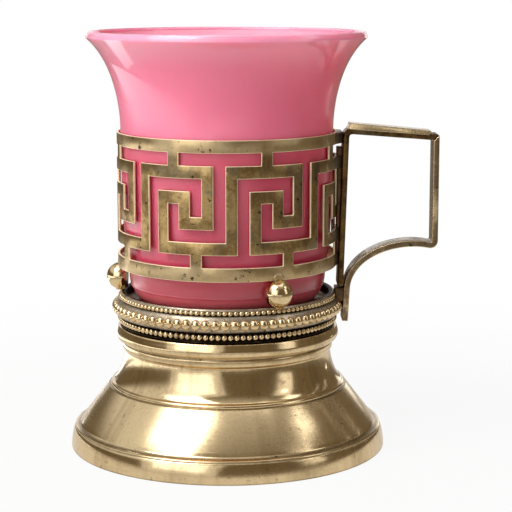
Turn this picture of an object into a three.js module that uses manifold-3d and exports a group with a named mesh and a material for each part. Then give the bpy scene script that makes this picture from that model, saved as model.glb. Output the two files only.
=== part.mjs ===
// Opaline glass tumbler in a brass holder: a spun foot, a beaded gallery, a pierced Greek key band on
// three balled tabs, and a strip handle with a thumb rest. Millimetres, +Z up, standing on Z = 0.
// The origin is the middle of the whole object's footprint; the cup's axis lies a little towards -X.

import * as THREE from "three";
import { ParametricGeometry } from "three/addons/geometries/ParametricGeometry.js";
import { mergeVertices } from "three/addons/utils/BufferGeometryUtils.js";
import Module from "manifold-3d";

const wasm = await Module();
wasm.setup();

// Clearances
const SEAT_GAP = 0.3; // between pieces that are soldered, seated or bolted together
const GLASS_PLAY = 0.25; // between the tumbler and the bore of the band
const HOLE_PLAY = 0.3; // round the shank of the bolt

// Tumbler
const GLASS_HEIGHT = 86.1;
const GLASS_RIM_RADIUS = 44.9;
const GLASS_SEAT_RADIUS = 34.15; // outside, level with the top of the band
const GLASS_TAPER = 2.3; // by how much the body narrows from there to the heel
const GLASS_HEEL_HEIGHT = 9.7;
const GLASS_HEEL_PULL = 4.4; // upper handle of the heel's curve, above the foot
const GLASS_FOOT_RADIUS = 26;
const GLASS_FOOT_RING = 3.5;
const GLASS_WALL = 2.2;
const GLASS_BASE = 3.6;
const GLASS_LIP_WIDTH = 2.6;
const GLASS_LIP_ROUND = 2.0;
const FLARE_ABOVE_BAND = 1.3; // where the flare begins
const FLARE_START_PULL = 5.8; // lengths of the two handles of the flare's curve
const FLARE_END_PULL = 11.8;
const FLARE_LEAN = THREE.MathUtils.degToRad(50); // lean of the wall under the lip, from upright
const PUNT_CLEARANCE = 1.6; // hollow under the tumbler, above the bolt head
const PUNT_FLAT = 13.5; // radius out to which the hollow stays nearly level

// Key band
const BAND_HEIGHT = 43.35;
const BAND_THICKNESS = 0.95;
const LOWER_RAIL = 4.3; // height of the lower rail; the other rows of the pattern share the rest
const BAND_START = THREE.MathUtils.degToRad(29.2); // where the first key begins, from +X
const KEY_COUNT = 7;

// One repeat of the pierced pattern, drawn as it is seen from outside: # is brass and . is open.
const KEY_ROWS = [
  "########",
  "...#....",
  "#######.",
  "#.....#.",
  "#.###.#.",
  "#.#.#.#.",
  "#.#.###.",
  "#.#.....",
  "#.######",
  ".....#..",
  "########",
];

// The short turn that closes the frieze behind the handle.
const CLOSING_ROWS = [
  "####",
  ".#..",
  "###.",
  "#.#.",
  "#.#.",
  "#.#.",
  "#.#.",
  "#.#.",
  "#.##",
  "..#.",
  "####",
];

// Tabs that carry the band, each with a ball on its outer face
const TAB_COUNT = 3;
const FIRST_TAB = THREE.MathUtils.degToRad(-62); // from +X
const TAB_WIDTH = 5;
const TAB_THICKNESS = 0.9;
const TAB_LAP = 3.2; // up the inside of the band's lower rail
const BALL_RADIUS = 3.95;
const BALL_SEAT_RADIUS = 1.2;
const BALL_SUNK = 0.25; // centre of a ball outside its filed face

// Gallery
const GALLERY_INSET = 0.3; // wall of the gallery inside the bore of the band
const GALLERY_WALL = 1.1;
const GALLERY_LIP = 0.6;
const GALLERY_BASE = 0.45;
const GALLERY_BASE_LEDGE = 0.9;
const GALLERY_RECESS = 6.3; // hollow under the floor
const GALLERY_FLOOR = 1.4;
const MOULDING_HEIGHT = 1.5;
const MOULDING_REACH = 1.3;
const MOULDING_CROWN = 2.2; // control point of the moulding's rounded face
const UPPER_BEAD_RADIUS = 0.8;
const MAIN_BEAD_RADIUS = 1.45;
const LOWER_BEAD_RADIUS = 1.0;
const UPPER_BEAD_PITCH = 1.72;
const MAIN_BEAD_PITCH = 2.9;
const LOWER_BEAD_PITCH = 1.8;
const BEAD_WAIST = 0.5; // waist between two beads as a share of the bead
const BEAD_DEPTH = 0.88; // depth of a bead as a share of its height

// Spun foot
const FOOT_RADIUS = 51.3;
const FOOT_HEIGHT = 40;
const FOOT_WALL = 1.1;
const FLANGE_OVERHANG = 1.3; // past the gallery's base
const FLANGE_ROUND = 1.4;
const FLANGE_HEIGHT = 4.6;
const NECK_DEPTH = 2.8; // neck inside the flange
const NECK_BEAD_HEIGHT = 2.4;
const NECK_BEAD_REACH = 0.9;
const STEP_HEIGHT = 20.4;
const STEP_REACH = 4.7; // edge of the bell outside the neck
const STEP_ROUND = 0.9;
const STEP_LEDGE = 0.7;
const STEP_WALL = 1.7;
const SKIRT_HEIGHT = 8; // foot of the straight skirt
const SKIRT_INSET = 3.15; // foot of the skirt inside the rolled lip
const RIDGE_HEIGHT = 3.2;
const RIDGE_REACH = 2.0;
const RIDGE_CROWN = 0.9; // control point of the ridge's rounded face, outside its foot
const LIP_HEIGHT = 4.4;
const LIP_GROOVE = 1.3; // groove above the lip, inside its crown
const LIP_UNDERCUT = 1.4; // outer edge of the standing ring, inside the lip's crown
const STANDING_WIDTH = 1.9;

// Bolt, washer and nut that hold the gallery on the foot
const BOLT_RADIUS = 2.5;
const BOLT_HEAD_RADIUS = 5;
const BOLT_HEAD_HEIGHT = 1.4;
const BOLT_END = 1.5; // thread that shows under the nut
const WASHER_RADIUS = 8;
const WASHER_THICKNESS = 1.5;
const NUT_RADIUS = 5;
const NUT_HEIGHT = 4;
const NUT_SIDES = 6;

// Handle
const HANDLE_REACH = 68; // from the cup's axis
const HANDLE_WIDTH = 9;
const HANDLE_STRIP = 1.9;
const HANDLE_CHAMFER = 0.3;
const HANDLE_SLOPE = THREE.MathUtils.degToRad(4.3); // fall of the top bar
const HANDLE_TOP_RISE = 0.1; // back of the top bar above the band
const STRAP_LEAN = 1.6; // top of the back strap outside its foot
const HANDLE_BEND = 2.4; // centre-line radius of the top bend
const GRIP_BEND = 1.6; // and of the lower bend of the grip
const GRIP_RISE = 6.4; // lower corner above the foot of the band
const GRIP_SWELL = 2.1; // rise of the lower curve's first handle
const GRIP_SWEEP = 0.43; // shares of the span where the curve's handles end
const GRIP_SHOULDER = 2.5; // second handle below the lower corner
const KNEE_DROP = 6.9; // knee of the lower curve below the band
const STRAP_TAIL = 7.0; // end of the back strap below the band
const TAIL_END = 0.6; // end of the tail above the gallery's base

// Packing between the leaning strap and the band's upper rail
const PACKING_WIDTH = 6;
const PACKING_MARGIN = 0.5; // inside the edges of the rail

// Thumb rest
const THUMB_START = 1.4; // along the top bar, from the back corner
const THUMB_LENGTH = 25.4;
const THUMB_WIDTH = 6.4;
const THUMB_THICKNESS = 1.15; // at the back
const THUMB_TIP = 0.55; // and at its outer end
const THUMB_COVE = 0.7; // slant of its hollowed ends, which lean outwards over the bar

// Facets
const TURN_FACETS = 36;
const SMALL_FACETS = 16;
const MAIN_BEAD_SIDES = 5;
const FINE_BEAD_SIDES = 3;
const BEAD_STEPS = 2;
const CHORD_ERROR = 0.12;
const WELD_DISTANCE = 1e-4; // vertices closer than this are one

// Levels, from the floor up
const galleryBottom = FOOT_HEIGHT + SEAT_GAP;
const galleryFloorTop = galleryBottom + GALLERY_RECESS + GALLERY_FLOOR;
const lowerBeadLevel = galleryBottom + GALLERY_BASE + SEAT_GAP + LOWER_BEAD_RADIUS;
const mainBeadLevel = lowerBeadLevel + LOWER_BEAD_RADIUS + SEAT_GAP + MAIN_BEAD_RADIUS;
const mouldingBottom = mainBeadLevel + MAIN_BEAD_RADIUS + SEAT_GAP;
const upperBeadLevel = mouldingBottom + MOULDING_HEIGHT + SEAT_GAP + UPPER_BEAD_RADIUS;
const galleryTop = upperBeadLevel + UPPER_BEAD_RADIUS + SEAT_GAP + GALLERY_LIP;
const ballCentre = galleryTop + SEAT_GAP + BALL_RADIUS;
const bandBottom = ballCentre + BALL_RADIUS + SEAT_GAP;
const bandTop = bandBottom + BAND_HEIGHT;
const rowHeight = (BAND_HEIGHT - LOWER_RAIL) / (KEY_ROWS.length - 1);
const glassBottom = galleryFloorTop + SEAT_GAP;
const flareStart = bandTop + FLARE_ABOVE_BAND;

// Radii, from the tumbler outwards
const glassHeelRadius = GLASS_SEAT_RADIUS - GLASS_TAPER;
const bandInner = GLASS_SEAT_RADIUS + GLASS_PLAY;
const bandOuter = bandInner + BAND_THICKNESS;
const galleryOuter = bandInner - GALLERY_INSET;
const galleryInner = galleryOuter - GALLERY_WALL;
const tabOuter = bandInner - SEAT_GAP;
const galleryBaseOuter = galleryOuter + GALLERY_BASE_LEDGE;
const flangeRadius = galleryBaseOuter + FLANGE_OVERHANG;
const neckRadius = flangeRadius - NECK_DEPTH;
const stepRadius = neckRadius + STEP_REACH;
const skirtRadius = FOOT_RADIUS - SKIRT_INSET;
const boltHoleRadius = BOLT_RADIUS + HOLE_PLAY;
const mainBeadOuter = galleryOuter + SEAT_GAP + 2 * BEAD_DEPTH * MAIN_BEAD_RADIUS;
const axisX = (FOOT_RADIUS - HANDLE_REACH) / 2;

// Finishes
const opaline = () => new THREE.MeshStandardMaterial({ color: 0xd9728f, roughness: 0.12, metalness: 0 });
const agedBrass = () => new THREE.MeshStandardMaterial({ color: 0x9c8148, roughness: 0.42, metalness: 1 });
const brightBrass = () => new THREE.MeshStandardMaterial({ color: 0xc9a25a, roughness: 0.22, metalness: 1 });
const darkBrass = () => new THREE.MeshStandardMaterial({ color: 0x7a653a, roughness: 0.45, metalness: 1 });
const steel = () => new THREE.MeshStandardMaterial({ color: 0x8d8d88, roughness: 0.4, metalness: 1 });

// Points along an outline, close enough on its curves for the chords to stay within the chord error.
function outlinePoints(path) {
  const points = [path.curves[0].getPoint(0)];
  for (const curve of path.curves) {
    const turn = Math.abs(curve.getTangent(0).angleTo(curve.getTangent(1)));
    const count = Math.max(1, Math.ceil(Math.sqrt((curve.getLength() * turn) / (8 * CHORD_ERROR))));
    for (let i = 1; i <= count; i++) {
      points.push(curve.getPoint(i / count));
    }
  }
  return points;
}

// Solid of revolution about +Z from an outline in radius and height, drawn either way round.
function revolve(path, facets = TURN_FACETS) {
  const points = outlinePoints(path);
  if (THREE.ShapeUtils.area(points) < 0) points.reverse();
  return new THREE.LatheGeometry(points, facets).rotateX(Math.PI / 2);
}

// Closed solid for joining and cutting.
function toSolid(geometry) {
  const bare = geometry.clone();
  bare.deleteAttribute("normal");
  bare.deleteAttribute("uv");
  const merged = mergeVertices(bare, WELD_DISTANCE);
  return new wasm.Manifold(
    new wasm.Mesh({
      numProp: 3,
      vertProperties: merged.attributes.position.array,
      triVerts: new Uint32Array(merged.index.array),
    }),
  );
}

function toGeometry(solid) {
  const mesh = solid.getMesh();
  const geometry = new THREE.BufferGeometry();
  geometry.setAttribute("position", new THREE.BufferAttribute(mesh.vertProperties, 3));
  geometry.setIndex(new THREE.BufferAttribute(mesh.triVerts, 1));
  return geometry;
}

// Plate cut to a side outline in X and Z, centred on Y = 0.
function sidePlate(shape, width, chamfer = 0) {
  const geometry = new THREE.ExtrudeGeometry(shape, {
    depth: width - 2 * chamfer,
    bevelEnabled: chamfer > 0,
    bevelThickness: chamfer,
    bevelSize: chamfer,
    bevelOffset: -chamfer,
    bevelSegments: 1,
  });
  return geometry.rotateX(Math.PI / 2).translate(0, width / 2 - chamfer, 0);
}

// Side outline of a flat strip bent along a centre line. A mitre leans an end's cut: its left side runs
// on by half the strip times the mitre's tangent, and its right side falls short by as much.
function bentStrip(centreLine, thickness, startMitre = 0, endMitre = 0) {
  const left = [];
  const right = [];
  const last = centreLine.length - 1;
  centreLine.forEach((point, i) => {
    const before = centreLine[Math.max(i - 1, 0)];
    const after = centreLine[Math.min(i + 1, last)];
    const along = after.clone().sub(before).normalize();
    const side = new THREE.Vector2(-along.y, along.x).multiplyScalar(thickness / 2);
    const slant = (i === 0 ? -startMitre : i === last ? endMitre : 0) * (thickness / 2);
    left.push(point.clone().add(side).addScaledVector(along, slant));
    right.push(point.clone().sub(side).addScaledVector(along, -slant));
  });
  return new THREE.Shape([...right, ...left.reverse()]);
}

// Tumbler with a hollowed foot, a rounded heel, a gently tapered body and a flared lip.
function tumbler() {
  const top = glassBottom + GLASS_HEIGHT;
  const punt = BOLT_HEAD_HEIGHT + PUNT_CLEARANCE;
  const floor = glassBottom + punt + GLASS_BASE;
  const heelTop = glassBottom + GLASS_HEEL_HEIGHT;
  const standing = GLASS_FOOT_RADIUS - GLASS_FOOT_RING;
  const edge = new THREE.Vector2(GLASS_RIM_RADIUS, top - GLASS_LIP_ROUND);
  const lean = new THREE.Vector2(Math.sin(FLARE_LEAN), Math.cos(FLARE_LEAN)).multiplyScalar(FLARE_END_PULL);
  const inner = new THREE.Vector2(GLASS_RIM_RADIUS - GLASS_LIP_WIDTH, top - GLASS_LIP_ROUND / 2);
  const bore = GLASS_SEAT_RADIUS - GLASS_WALL;
  const heelBore = glassHeelRadius - GLASS_WALL;

  const path = new THREE.Path();
  path.moveTo(0, glassBottom + punt);
  path.quadraticCurveTo(PUNT_FLAT, glassBottom + punt, standing, glassBottom);
  path.lineTo(GLASS_FOOT_RADIUS, glassBottom);
  path.bezierCurveTo(
    (GLASS_FOOT_RADIUS + 2 * glassHeelRadius) / 3,
    glassBottom,
    glassHeelRadius,
    glassBottom + GLASS_HEEL_PULL,
    glassHeelRadius,
    heelTop,
  );
  path.lineTo(GLASS_SEAT_RADIUS, flareStart);
  path.bezierCurveTo(
    GLASS_SEAT_RADIUS,
    flareStart + FLARE_START_PULL,
    edge.x - lean.x,
    edge.y - lean.y,
    edge.x,
    edge.y,
  );
  path.quadraticCurveTo(edge.x, top, (edge.x + inner.x) / 2, top);
  path.quadraticCurveTo(inner.x, top, inner.x, inner.y);
  path.bezierCurveTo(
    inner.x - lean.x,
    inner.y - lean.y,
    bore,
    flareStart + FLARE_START_PULL,
    bore,
    flareStart,
  );
  path.lineTo(heelBore, heelTop);
  path.bezierCurveTo(heelBore, floor + GLASS_WALL, heelBore - GLASS_WALL, floor, GLASS_FOOT_RADIUS, floor);
  path.lineTo(0, floor);
  return revolve(path);
}

// Pierced band. Each brass cell of the pattern gives its inner and outer faces, and a cut edge wherever
// the neighbouring cell is open.
function keyBand() {
  const rows = KEY_ROWS.map((row, i) => row.repeat(KEY_COUNT) + CLOSING_ROWS[i]);
  const columns = rows[0].length;
  const turn = (2 * Math.PI) / columns;
  const isBrass = (r, c) => rows[r]?.[(c + columns) % columns] === "#";
  const corner = (radius, c, r) => {
    const angle = BAND_START + (c % columns) * turn;
    const level = r < rows.length ? bandTop - r * rowHeight : bandBottom;
    return [radius * Math.cos(angle), radius * Math.sin(angle), level];
  };
  const positions = [];
  const quad = (a, b, c, d) => positions.push(...a, ...b, ...c, ...a, ...c, ...d);

  for (let r = 0; r < rows.length; r++) {
    for (let c = 0; c < columns; c++) {
      if (!isBrass(r, c)) continue;
      const inside = [corner(bandInner, c, r + 1), corner(bandInner, c + 1, r + 1)];
      inside.push(corner(bandInner, c + 1, r), corner(bandInner, c, r));
      const outside = [corner(bandOuter, c, r + 1), corner(bandOuter, c + 1, r + 1)];
      outside.push(corner(bandOuter, c + 1, r), corner(bandOuter, c, r));
      quad(...outside);
      quad(...inside.toReversed());
      if (!isBrass(r - 1, c)) quad(inside[3], outside[3], outside[2], inside[2]);
      if (!isBrass(r + 1, c)) quad(inside[0], inside[1], outside[1], outside[0]);
      if (!isBrass(r, c - 1)) quad(inside[0], outside[0], outside[3], inside[3]);
      if (!isBrass(r, c + 1)) quad(inside[1], inside[2], outside[2], outside[1]);
    }
  }
  const geometry = new THREE.BufferGeometry();
  geometry.setAttribute("position", new THREE.Float32BufferAttribute(positions, 3));
  return mergeVertices(geometry, WELD_DISTANCE);
}

// Upright tab, lapped inside the band's lower rail and standing on the gallery's lip.
function tab() {
  const foot = galleryTop + SEAT_GAP;
  const height = bandBottom + TAB_LAP - foot;
  const geometry = new THREE.BoxGeometry(TAB_THICKNESS, TAB_WIDTH, height);
  return geometry.translate(tabOuter - TAB_THICKNESS / 2, 0, foot + height / 2);
}

// Turned ball with a small seat, filed flat on the side that is soldered to its tab.
function ball() {
  const seatDrop = Math.sqrt(BALL_RADIUS ** 2 - BALL_SEAT_RADIUS ** 2);
  const seatAngle = -Math.asin(seatDrop / BALL_RADIUS);
  const path = new THREE.Path();
  path.moveTo(0, -BALL_RADIUS);
  path.lineTo(BALL_SEAT_RADIUS, -BALL_RADIUS);
  path.lineTo(BALL_SEAT_RADIUS, -seatDrop);
  path.absarc(0, 0, BALL_RADIUS, seatAngle, Math.PI / 2);
  const turned = revolve(path, SMALL_FACETS).rotateZ(Math.PI / SMALL_FACETS);
  const wasteSide = 3 * BALL_RADIUS;
  const waste = new THREE.BoxGeometry(wasteSide, wasteSide, wasteSide);
  waste.translate(-BALL_SUNK - wasteSide / 2, 0, 0);
  const filed = toGeometry(toSolid(turned).subtract(toSolid(waste)));
  return filed.translate(tabOuter + SEAT_GAP + BALL_SUNK, 0, ballCentre);
}

// Spun collar with a floor for the tumbler, grooves for the beaded wires and a plain moulding.
function gallery() {
  const floorBottom = galleryBottom + GALLERY_RECESS;
  const baseTop = galleryBottom + GALLERY_BASE;
  const mouldingTop = mouldingBottom + MOULDING_HEIGHT;
  const mouldingMiddle = mouldingBottom + MOULDING_HEIGHT / 2;
  const lipBottom = galleryTop - GALLERY_LIP;
  const path = new THREE.Path();
  path.moveTo(galleryInner, galleryFloorTop);
  path.lineTo(boltHoleRadius, galleryFloorTop);
  path.lineTo(boltHoleRadius, floorBottom);
  path.lineTo(galleryInner, floorBottom);
  path.lineTo(galleryInner, galleryBottom);
  path.lineTo(galleryBaseOuter, galleryBottom);
  path.lineTo(galleryBaseOuter, baseTop);
  path.lineTo(galleryOuter, baseTop);
  path.lineTo(galleryOuter, mouldingBottom);
  path.lineTo(galleryOuter + MOULDING_REACH, mouldingBottom);
  path.quadraticCurveTo(
    galleryOuter + 2 * MOULDING_CROWN - MOULDING_REACH,
    mouldingMiddle,
    galleryOuter + MOULDING_REACH,
    mouldingTop,
  );
  path.lineTo(galleryOuter, mouldingTop);
  path.lineTo(galleryOuter, lipBottom);
  path.lineTo(bandOuter, lipBottom);
  path.lineTo(bandOuter, galleryTop);
  path.lineTo(galleryInner, galleryTop);
  path.closePath();
  return revolve(path);
}

// Ring of beaded wire lying round the gallery, pinched to a waist between its beads.
function beadedWire(level, beadRadius, pitch, sides) {
  const ringRadius = galleryOuter + SEAT_GAP + BEAD_DEPTH * beadRadius;
  const beads = Math.round((2 * Math.PI * ringRadius) / pitch);
  const surface = (u, v, target) => {
    const along = 2 * Math.PI * u;
    const round = 2 * Math.PI * v;
    const swell = Math.abs(Math.sin((beads * along) / 2));
    const radius = beadRadius * (BEAD_WAIST + (1 - BEAD_WAIST) * swell);
    const reach = ringRadius + BEAD_DEPTH * radius * Math.cos(round);
    target.set(reach * Math.cos(along), reach * Math.sin(along), level + radius * Math.sin(round));
  };
  return new ParametricGeometry(surface, beads * BEAD_STEPS, sides);
}

// Thin spun foot: flange, beaded neck, bell, straight skirt and a rolled lip that it stands on.
function spunFoot() {
  const flangeBottom = FOOT_HEIGHT - FLANGE_HEIGHT;
  const neckTop = flangeBottom - NECK_BEAD_HEIGHT;
  const beadRadius = neckRadius + NECK_BEAD_REACH;
  const bellEdge = STEP_HEIGHT + STEP_ROUND;
  const ridgeBottom = SKIRT_HEIGHT - RIDGE_HEIGHT;
  const ridgeRadius = skirtRadius + RIDGE_REACH;
  const grooveRadius = FOOT_RADIUS - LIP_GROOVE;
  const standingOuter = FOOT_RADIUS - LIP_UNDERCUT;
  const standingInner = standingOuter - STANDING_WIDTH;
  const path = new THREE.Path();
  path.moveTo(boltHoleRadius, FOOT_HEIGHT - FOOT_WALL);
  path.lineTo(boltHoleRadius, FOOT_HEIGHT);
  path.lineTo(flangeRadius - FLANGE_ROUND, FOOT_HEIGHT);
  path.quadraticCurveTo(flangeRadius, FOOT_HEIGHT, flangeRadius, FOOT_HEIGHT - FLANGE_ROUND);
  path.quadraticCurveTo(
    flangeRadius,
    flangeBottom + FLANGE_ROUND,
    beadRadius + NECK_BEAD_REACH,
    flangeBottom,
  );
  path.lineTo(beadRadius, flangeBottom);
  path.quadraticCurveTo(beadRadius, neckTop, neckRadius, neckTop);
  path.bezierCurveTo(
    neckRadius,
    (neckTop + bellEdge) / 2,
    neckRadius + STEP_REACH / 4,
    bellEdge + STEP_REACH,
    stepRadius - STEP_ROUND,
    bellEdge,
  );
  path.quadraticCurveTo(stepRadius, bellEdge, stepRadius, STEP_HEIGHT);
  path.lineTo(stepRadius + STEP_LEDGE, STEP_HEIGHT);
  path.lineTo(skirtRadius, SKIRT_HEIGHT);
  path.quadraticCurveTo(ridgeRadius + RIDGE_CROWN, SKIRT_HEIGHT - RIDGE_HEIGHT / 2, ridgeRadius, ridgeBottom);
  path.lineTo(grooveRadius, LIP_HEIGHT);
  path.quadraticCurveTo(FOOT_RADIUS, LIP_HEIGHT, FOOT_RADIUS, LIP_HEIGHT / 2);
  path.quadraticCurveTo(FOOT_RADIUS, 0, standingOuter, 0);
  path.lineTo(standingInner, 0);
  path.lineTo(skirtRadius - STEP_WALL, SKIRT_HEIGHT - RIDGE_HEIGHT / 2);
  path.lineTo(stepRadius - STEP_WALL, STEP_HEIGHT - STEP_ROUND);
  path.lineTo(neckRadius - FOOT_WALL, (neckTop + bellEdge) / 2);
  path.lineTo(neckRadius - FOOT_WALL, FOOT_HEIGHT - FOOT_WALL);
  path.closePath();
  return revolve(path);
}

// Bolt with a low head on the gallery's floor.
function bolt() {
  const headBottom = galleryFloorTop + SEAT_GAP / 2;
  const headTop = headBottom + BOLT_HEAD_HEIGHT;
  const end = FOOT_HEIGHT - FOOT_WALL - 2 * SEAT_GAP - WASHER_THICKNESS - NUT_HEIGHT - BOLT_END;
  const path = new THREE.Path();
  path.moveTo(0, end);
  path.lineTo(BOLT_RADIUS, end);
  path.lineTo(BOLT_RADIUS, headBottom);
  path.lineTo(BOLT_HEAD_RADIUS, headBottom);
  path.quadraticCurveTo(BOLT_HEAD_RADIUS, headTop, 0, headTop);
  return revolve(path, SMALL_FACETS);
}

// Flat washer against the underside of the foot's top.
function washer() {
  const top = FOOT_HEIGHT - FOOT_WALL - SEAT_GAP;
  const path = new THREE.Path();
  path.moveTo(boltHoleRadius, top - WASHER_THICKNESS);
  path.lineTo(WASHER_RADIUS, top - WASHER_THICKNESS);
  path.lineTo(WASHER_RADIUS, top);
  path.lineTo(boltHoleRadius, top);
  path.closePath();
  return revolve(path, SMALL_FACETS);
}

// Hexagon nut under the washer.
function nut() {
  const top = FOOT_HEIGHT - FOOT_WALL - 2 * SEAT_GAP - WASHER_THICKNESS;
  const corners = Array.from({ length: NUT_SIDES }, (_, i) => {
    const angle = (2 * Math.PI * i) / NUT_SIDES;
    return new THREE.Vector2(NUT_RADIUS * Math.cos(angle), NUT_RADIUS * Math.sin(angle));
  });
  const shape = new THREE.Shape(corners);
  shape.holes.push(new THREE.Path().absarc(0, 0, boltHoleRadius, 0, 2 * Math.PI, true));
  const geometry = new THREE.ExtrudeGeometry(shape, {
    depth: NUT_HEIGHT,
    bevelEnabled: false,
    curveSegments: SMALL_FACETS / 2,
  });
  return geometry.translate(0, 0, top - NUT_HEIGHT);
}

// Centre lines of the handle, in the plane through the cup's axis
const strapX = bandOuter + SEAT_GAP + HANDLE_STRIP / 2;
const gripX = HANDLE_REACH - HANDLE_STRIP / 2;
const kneeX = strapX + HANDLE_STRIP + SEAT_GAP;
const tailX = mainBeadOuter + SEAT_GAP + HANDLE_STRIP / 2;
const strapFoot = new THREE.Vector2(strapX, bandBottom - STRAP_TAIL);
const backCorner = new THREE.Vector2(strapX + STRAP_LEAN, bandTop + HANDLE_TOP_RISE);
const barAlong = new THREE.Vector2(Math.cos(HANDLE_SLOPE), -Math.sin(HANDLE_SLOPE));
const barLength = (gripX - backCorner.x) / barAlong.x;
const topCorner = backCorner.clone().addScaledVector(barAlong, barLength);
const cornerHalfTurn = (Math.PI / 2 - HANDLE_SLOPE) / 2;
const mitreRetreat = SEAT_GAP / 2 / Math.cos(cornerHalfTurn);

// Strap soldered up the side of the band and bent over into the top bar, mitred at the outer corner.
function backStrap() {
  const bendEnd = backCorner.clone().addScaledVector(barAlong, HANDLE_BEND);
  const barEnd = topCorner.clone().addScaledVector(barAlong, -mitreRetreat);
  const path = new THREE.Path();
  const bendStart = backCorner.clone().sub(strapFoot).setLength(HANDLE_BEND).negate().add(backCorner);
  path.moveTo(strapFoot.x, strapFoot.y);
  path.lineTo(bendStart.x, bendStart.y);
  path.quadraticCurveTo(backCorner.x, backCorner.y, bendEnd.x, bendEnd.y);
  path.lineTo(barEnd.x, barEnd.y);
  const outline = bentStrip(outlinePoints(path), HANDLE_STRIP, 0, Math.tan(cornerHalfTurn));
  return sidePlate(outline, HANDLE_WIDTH, HANDLE_CHAMFER);
}

// Grip: down from the mitre, round the lower corner and back in a curve to a tail on the gallery.
function gripStrap() {
  const lowerCorner = new THREE.Vector2(gripX, bandBottom + GRIP_RISE);
  const kneeLevel = bandBottom - KNEE_DROP;
  const span = gripX - kneeX;
  const path = new THREE.Path();
  path.moveTo(gripX, topCorner.y - mitreRetreat);
  path.lineTo(gripX, lowerCorner.y + GRIP_BEND);
  path.quadraticCurveTo(lowerCorner.x, lowerCorner.y, lowerCorner.x - GRIP_BEND, lowerCorner.y);
  path.bezierCurveTo(
    gripX - span * GRIP_SWEEP,
    lowerCorner.y + GRIP_SWELL,
    kneeX + GRIP_BEND,
    lowerCorner.y - GRIP_SHOULDER,
    kneeX,
    kneeLevel,
  );
  path.lineTo(tailX, galleryBottom + TAIL_END);
  const outline = bentStrip(outlinePoints(path), HANDLE_STRIP, Math.tan(cornerHalfTurn), 0);
  return sidePlate(outline, HANDLE_WIDTH, HANDLE_CHAMFER);
}

// Packing piece that fills the wedge between the band's upper rail and the leaning strap.
function packing() {
  const top = bandTop - PACKING_MARGIN;
  const bottom = bandTop - rowHeight + PACKING_MARGIN;
  const face = bandOuter + SEAT_GAP;
  const lean = STRAP_LEAN / (backCorner.y - strapFoot.y);
  const strapFace = (level) => strapX + lean * (level - strapFoot.y) - HANDLE_STRIP / 2 - SEAT_GAP;
  const shape = new THREE.Shape();
  shape.moveTo(face, bottom);
  shape.lineTo(strapFace(bottom), bottom);
  shape.lineTo(strapFace(top), top);
  shape.lineTo(face, top);
  shape.closePath();
  return sidePlate(shape, PACKING_WIDTH);
}

// Plate on the top bar, thinner towards its outer end, with hollowed and slanting ends.
function thumbRest() {
  const far = THUMB_LENGTH - THUMB_COVE;
  const shape = new THREE.Shape();
  shape.moveTo(0, 0);
  shape.lineTo(far, 0);
  shape.quadraticCurveTo(far, THUMB_TIP / 2, THUMB_LENGTH, THUMB_TIP);
  shape.lineTo(THUMB_COVE, THUMB_THICKNESS);
  shape.quadraticCurveTo(THUMB_COVE, THUMB_THICKNESS / 2, 0, 0);
  return sidePlate(new THREE.Shape(outlinePoints(shape).slice(0, -1)), THUMB_WIDTH);
}

const part = new THREE.Group();

// The cup's axis, round which everything but the handle is turned
const holder = new THREE.Group();
holder.position.x = axisX;
part.add(holder);

function addPiece(name, geometry, material) {
  const piece = new THREE.Mesh(geometry, material);
  piece.name = name;
  holder.add(piece);
  return piece;
}

addPiece("glass_tumbler", tumbler(), opaline());
addPiece("key_band", keyBand(), agedBrass());
addPiece("gallery_dish", gallery(), darkBrass());
const upperWire = beadedWire(upperBeadLevel, UPPER_BEAD_RADIUS, UPPER_BEAD_PITCH, FINE_BEAD_SIDES);
addPiece("upper_bead_wire", upperWire, agedBrass());
const mainWire = beadedWire(mainBeadLevel, MAIN_BEAD_RADIUS, MAIN_BEAD_PITCH, MAIN_BEAD_SIDES);
addPiece("main_bead_wire", mainWire, brightBrass());
const lowerWire = beadedWire(lowerBeadLevel, LOWER_BEAD_RADIUS, LOWER_BEAD_PITCH, FINE_BEAD_SIDES);
addPiece("lower_bead_wire", lowerWire, agedBrass());
for (let i = 0; i < TAB_COUNT; i++) {
  const turn = FIRST_TAB + (2 * Math.PI * i) / TAB_COUNT;
  addPiece(`band_tab_${i + 1}`, tab(), darkBrass()).rotation.z = turn;
  addPiece(`tab_ball_${i + 1}`, ball(), brightBrass()).rotation.z = turn;
}
addPiece("spun_foot", spunFoot(), brightBrass());
addPiece("centre_bolt", bolt(), steel());
addPiece("foot_washer", washer(), agedBrass());
addPiece("foot_nut", nut(), steel());
addPiece("handle_back_strap", backStrap(), darkBrass());
addPiece("handle_grip_strap", gripStrap(), agedBrass());
addPiece("strap_packing", packing(), darkBrass());
const rest = addPiece("thumb_rest", thumbRest(), agedBrass());
const restStart = backCorner.clone().addScaledVector(barAlong, THUMB_START);
const barUp = new THREE.Vector2(-barAlong.y, barAlong.x);
restStart.addScaledVector(barUp, HANDLE_STRIP / 2 + SEAT_GAP);
rest.position.set(restStart.x, 0, restStart.y);
rest.rotation.y = HANDLE_SLOPE;

export default part;
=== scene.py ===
"""Looks of an opaline glass cup in its brass holder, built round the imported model.

Pieces are shaped in millimetres round the cup's upright axis and put into the model's frame, in
metres, when they are finished.
"""

import logging
import math
from bisect import bisect
from dataclasses import dataclass, field
from enum import Enum
from typing import Iterable, Sequence, Union

import bmesh
import bpy
from mathutils import Euler, Matrix, Vector
from mathutils.geometry import interpolate_bezier


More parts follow.
